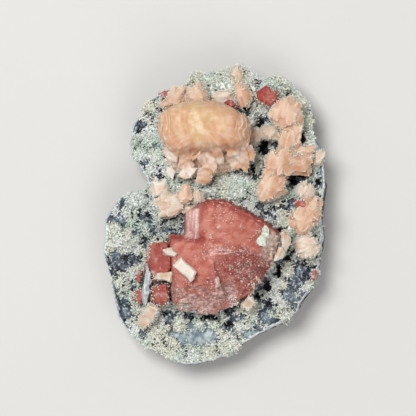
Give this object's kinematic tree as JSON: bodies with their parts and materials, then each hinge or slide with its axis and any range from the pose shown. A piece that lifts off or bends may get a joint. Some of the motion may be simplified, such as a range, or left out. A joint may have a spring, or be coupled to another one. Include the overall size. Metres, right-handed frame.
{
  "type": "heulandite specimen",
  "caption": "Hand-sized mineral plate that lies on its sawn back: a large red heulandite and a peach stilbite ball among small crystals on a pale drusy crust.",
  "frame": {"origin": "middle of the outline's box, on the flat sawn back", "axes": "+Z out of the crust, away from the back; +Y along the plate towards the end with the stilbite ball; +X across it, to the side that is right when the crust faces the viewer and the ball is at the top"},
  "size_m": [0.0816, 0.11, 0.0414],
  "materials": {
    "rock": "rough grey-green drusy chalcedony crust on dark brown basalt",
    "red_heulandite": "brick-red, translucent at thin edges, vitreous, pearly on the cleavage",
    "peach_stilbite": "peach, translucent, waxy to pearly",
    "pale_stilbite": "pinkish white, translucent, pearly",
    "chalcedony": "blue-grey, waxy, slightly translucent",
    "pale_grains": "pale green, frosted"
  },
  "bodies": {
    "root": {"matrix": "rock", "heulandite_large": "red_heulandite", "heulandite_left": "red_heulandite", "heulandite_lower_left": "red_heulandite", "heulandite_far_left": "red_heulandite", "heulandite_sliver_left": "red_heulandite", "heulandite_top": "red_heulandite", "heulandite_by_ball": "red_heulandite", "heulandite_upper_left": "red_heulandite", "heulandite_right": "red_heulandite", "heulandite_sliver_right": "red_heulandite", "stilbite_ball": "peach_stilbite", "stilbite_fan_upper_left": "peach_stilbite", "stilbite_fan_top": "pale_stilbite", "stilbite_column_top": "peach_stilbite", "stilbite_column_tip": "pale_stilbite", "stilbite_fan_right_upper": "peach_stilbite", "stilbite_fan_right_lower": "peach_stilbite", "stilbite_blade_right": "peach_stilbite", "stilbite_small_right": "peach_stilbite", "stilbite_pale_edge": "pale_stilbite", "stilbite_arch": "pale_stilbite", "stilbite_pale_right": "pale_stilbite", "stilbite_knob_right_upper": "peach_stilbite", "stilbite_knob_right_lower": "pale_stilbite", "stilbite_knob_left": "pale_stilbite", "stilbite_knob_left_inner": "peach_stilbite", "stilbite_knob_middle": "pale_stilbite", "stilbite_blade_white": "pale_stilbite", "stilbite_oval": "pale_stilbite", "stilbite_blade_left": "pale_stilbite", "stilbite_blade_lower_left": "peach_stilbite", "stilbite_tip_right": "pale_stilbite", "stilbite_blade_lower_right": "peach_stilbite", "chalcedony_rod": "chalcedony", "tuft_on_face": "pale_grains", "flake_on_face_upper": "pale_grains", "flake_on_face_lower": "pale_grains", "flake_on_face_left": "pale_grains", "flake_on_face_bottom": "pale_grains"}
  },
  "joints": []
}
